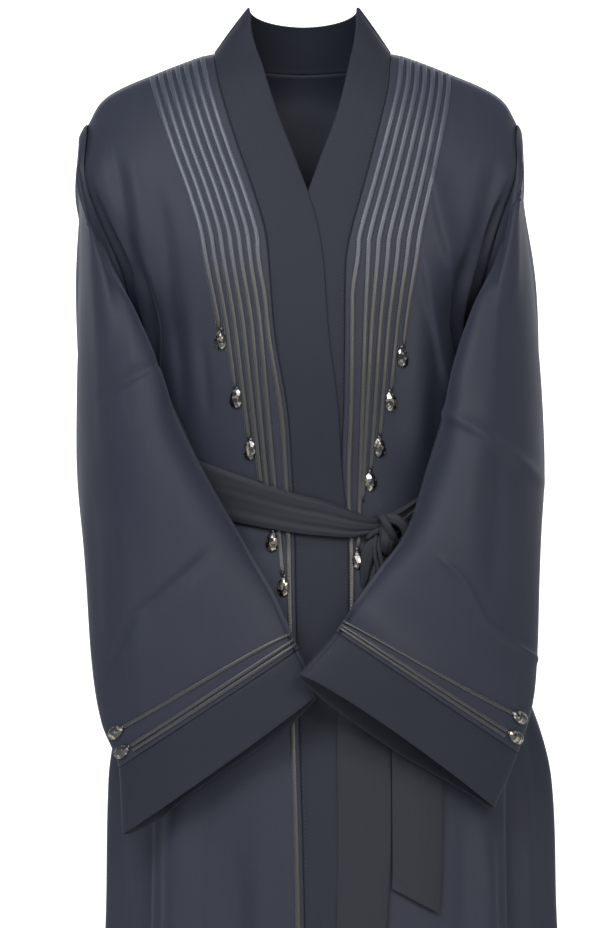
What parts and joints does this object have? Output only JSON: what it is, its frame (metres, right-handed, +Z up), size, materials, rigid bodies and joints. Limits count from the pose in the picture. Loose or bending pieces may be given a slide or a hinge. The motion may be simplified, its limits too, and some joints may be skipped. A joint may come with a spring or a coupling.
{
  "type": "kimono abaya",
  "caption": "Long open-fronted robe, worn form, crossed neck band, wide hanging sleeves, satin cords with cut stones and a tied sash.",
  "frame": {"origin": "the middle of the neck at the height of the side neck points, where the wearer's shoulders and neck hold the robe", "axes": "+Z up along the robe's length, -Y to the robe's front, +X to the wearer's left"},
  "size_m": [0.5219, 0.3697, 1.4665],
  "materials": {
    "crepe": "dark charcoal crepe, soft satin back sheen",
    "band_crepe": "the same crepe, doubled and pressed",
    "sash_crepe": "the same crepe, folded",
    "satin_cord": "twisted satin cord, sheen along its length",
    "cut_stone": "smoky faceted glass on a dark foil back"
  },
  "bodies": {
    "root": {"back": "crepe", "front_right": "crepe", "front_left": "crepe", "neck_band": "band_crepe", "front_band_right": "band_crepe", "front_band_left": "band_crepe", "sleeve_right": "crepe", "sleeve_left": "crepe", "cuff_right": "band_crepe", "cuff_left": "band_crepe", "sash": "sash_crepe", "knot": "sash_crepe", "knot_loop": "sash_crepe", "knot_leaf": "sash_crepe", "sash_tail_long": "sash_crepe", "sash_tail_short": "sash_crepe", "cord_right_1": "satin_cord", "cord_right_2": "satin_cord", "cord_right_3": "satin_cord", "cord_right_4": "satin_cord", "cord_right_5": "satin_cord", "cord_right_6": "satin_cord", "cord_right_7": "satin_cord", "cord_left_1": "satin_cord", "cord_left_2": "satin_cord", "cord_left_3": "satin_cord", "cord_left_4": "satin_cord", "cord_left_5": "satin_cord", "cord_left_6": "satin_cord", "cord_left_7": "satin_cord", "cuff_cord_right_1": "satin_cord", "cuff_cord_right_2": "satin_cord", "cuff_cord_right_3": "satin_cord", "cuff_cord_left_1": "satin_cord", "cuff_cord_left_2": "satin_cord", "cuff_cord_left_3": "satin_cord", "stone_right_1": "cut_stone", "stone_right_2": "cut_stone", "stone_right_3": "cut_stone", "stone_right_5": "cut_stone", "stone_right_6": "cut_stone", "stone_left_1": "cut_stone", "stone_left_2": "cut_stone", "stone_left_3": "cut_stone", "stone_left_4": "cut_stone", "stone_left_6": "cut_stone", "cuff_stone_right_1": "cut_stone", "cuff_stone_right_2": "cut_stone", "cuff_stone_left_1": "cut_stone", "cuff_stone_left_2": "cut_stone"}
  },
  "joints": []
}
